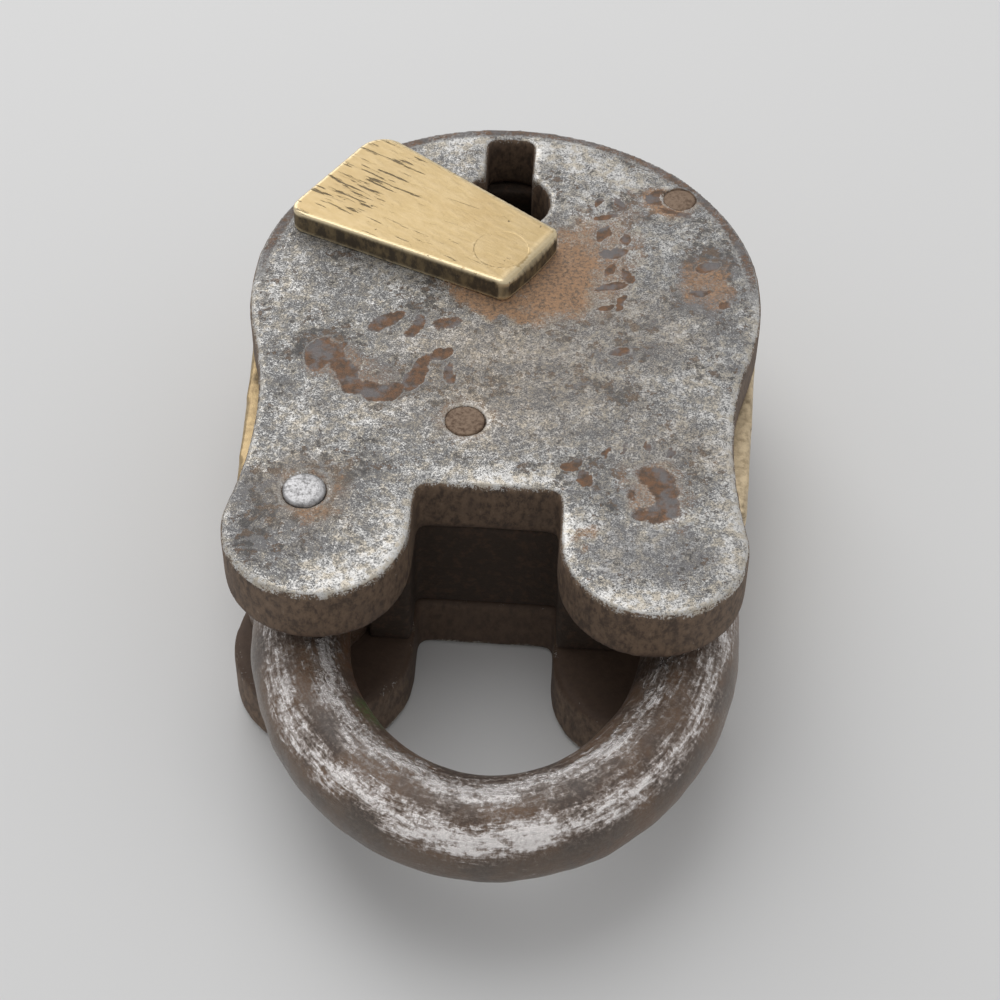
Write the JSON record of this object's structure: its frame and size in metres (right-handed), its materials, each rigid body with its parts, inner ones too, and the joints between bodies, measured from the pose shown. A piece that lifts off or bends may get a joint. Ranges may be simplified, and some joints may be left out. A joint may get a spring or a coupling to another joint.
{
  "type": "lever padlock",
  "caption": "Old-pattern lever padlock: two thick steel plates over a brass case, a swinging round-bar shackle, a swinging brass keyhole cover, sliding bolt and sprung levers.",
  "frame": {"origin": "centre of the disc on the back plate's outer face", "axes": "+Z out of the front face, +Y towards the keyhole end, shackle towards -Y, +X to the right of the front face"},
  "size_m": [0.076, 0.1282, 0.039],
  "materials": {
    "steel_plate": "worn grey steel with dark speckle and rust",
    "dark_steel": "dark brown-grey forged steel, bright where rubbed",
    "case_brass": "tarnished cast brass",
    "cover_brass": "rubbed brass with dark gouges",
    "bright_rivet": "bright rubbed steel",
    "rusty_rivet": "brown rusted steel",
    "lock_brass": "plain brass",
    "lock_steel": "plain steel",
    "spring_steel": "blued spring steel"
  },
  "bodies": {
    "case": {"back_plate": "steel_plate", "middle_case": "case_brass", "front_plate": "steel_plate", "shackle_rivet": "bright_rivet", "centre_rivet": "rusty_rivet", "right_rim_rivet": "rusty_rivet", "left_rim_rivet": "rusty_rivet", "lever_post": "lock_steel", "lever_spacer": "lock_brass", "key_pin": "lock_steel", "cover_rivet": "cover_brass", "cover_washer": "lock_steel", "bolt_guide_pin": "lock_steel"},
    "shackle": {"shackle": "dark_steel"},
    "bolt": {"bolt": "lock_brass", "bolt_stump": "lock_brass"},
    "cover": {"keyhole_cover": "cover_brass"},
    "lever_1": {"lever_1": "lock_brass", "lever_spring_1": "spring_steel"},
    "lever_2": {"lever_2": "lock_brass", "lever_spring_2": "spring_steel"},
    "lever_3": {"lever_3": "lock_brass", "lever_spring_3": "spring_steel"},
    "lever_4": {"lever_4": "lock_brass", "lever_spring_4": "spring_steel"},
    "lever_5": {"lever_5": "lock_brass", "lever_spring_5": "spring_steel"},
    "lever_6": {"lever_6": "lock_brass", "lever_spring_6": "spring_steel"}
  },
  "joints": [
    {"name": "shackle_swing", "type": "hinge", "parent": "case", "child": "shackle", "pos_m": [-0.02505, -0.04235, 0.0176], "axis": [0, 0, 1], "range_deg": [-95, 0]},
    {"name": "cover_swing", "type": "hinge", "parent": "case", "child": "cover", "pos_m": [-0.0011, 0.0044, 0.0352], "axis": [0, 0, 1], "continuous": true},
    {"name": "bolt_slide", "type": "slide", "parent": "case", "child": "bolt", "axis": [1, 0, 0], "range_m": [0, 0.006]},
    {"name": "lever_1_lift", "type": "hinge", "parent": "case", "child": "lever_1", "pos_m": [-0.0242, -0.005, 0.0137], "axis": [0, 0, -1], "range_deg": [0, 7], "stiffness_Nm_per_rad": 0.02, "deforming": ["lever_spring_1"]},
    {"name": "lever_2_lift", "type": "hinge", "parent": "case", "child": "lever_2", "pos_m": [-0.0242, -0.005, 0.0154], "axis": [0, 0, -1], "range_deg": [0, 7], "stiffness_Nm_per_rad": 0.02, "deforming": ["lever_spring_2"]},
    {"name": "lever_3_lift", "type": "hinge", "parent": "case", "child": "lever_3", "pos_m": [-0.0242, -0.005, 0.0171], "axis": [0, 0, -1], "range_deg": [0, 7], "stiffness_Nm_per_rad": 0.02, "deforming": ["lever_spring_3"]},
    {"name": "lever_4_lift", "type": "hinge", "parent": "case", "child": "lever_4", "pos_m": [-0.0242, -0.005, 0.0188], "axis": [0, 0, -1], "range_deg": [0, 7], "stiffness_Nm_per_rad": 0.02, "deforming": ["lever_spring_4"]},
    {"name": "lever_5_lift", "type": "hinge", "parent": "case", "child": "lever_5", "pos_m": [-0.0242, -0.005, 0.0205], "axis": [0, 0, -1], "range_deg": [0, 7], "stiffness_Nm_per_rad": 0.02, "deforming": ["lever_spring_5"]},
    {"name": "lever_6_lift", "type": "hinge", "parent": "case", "child": "lever_6", "pos_m": [-0.0242, -0.005, 0.0222], "axis": [0, 0, -1], "range_deg": [0, 7], "stiffness_Nm_per_rad": 0.02, "deforming": ["lever_spring_6"]}
  ]
}
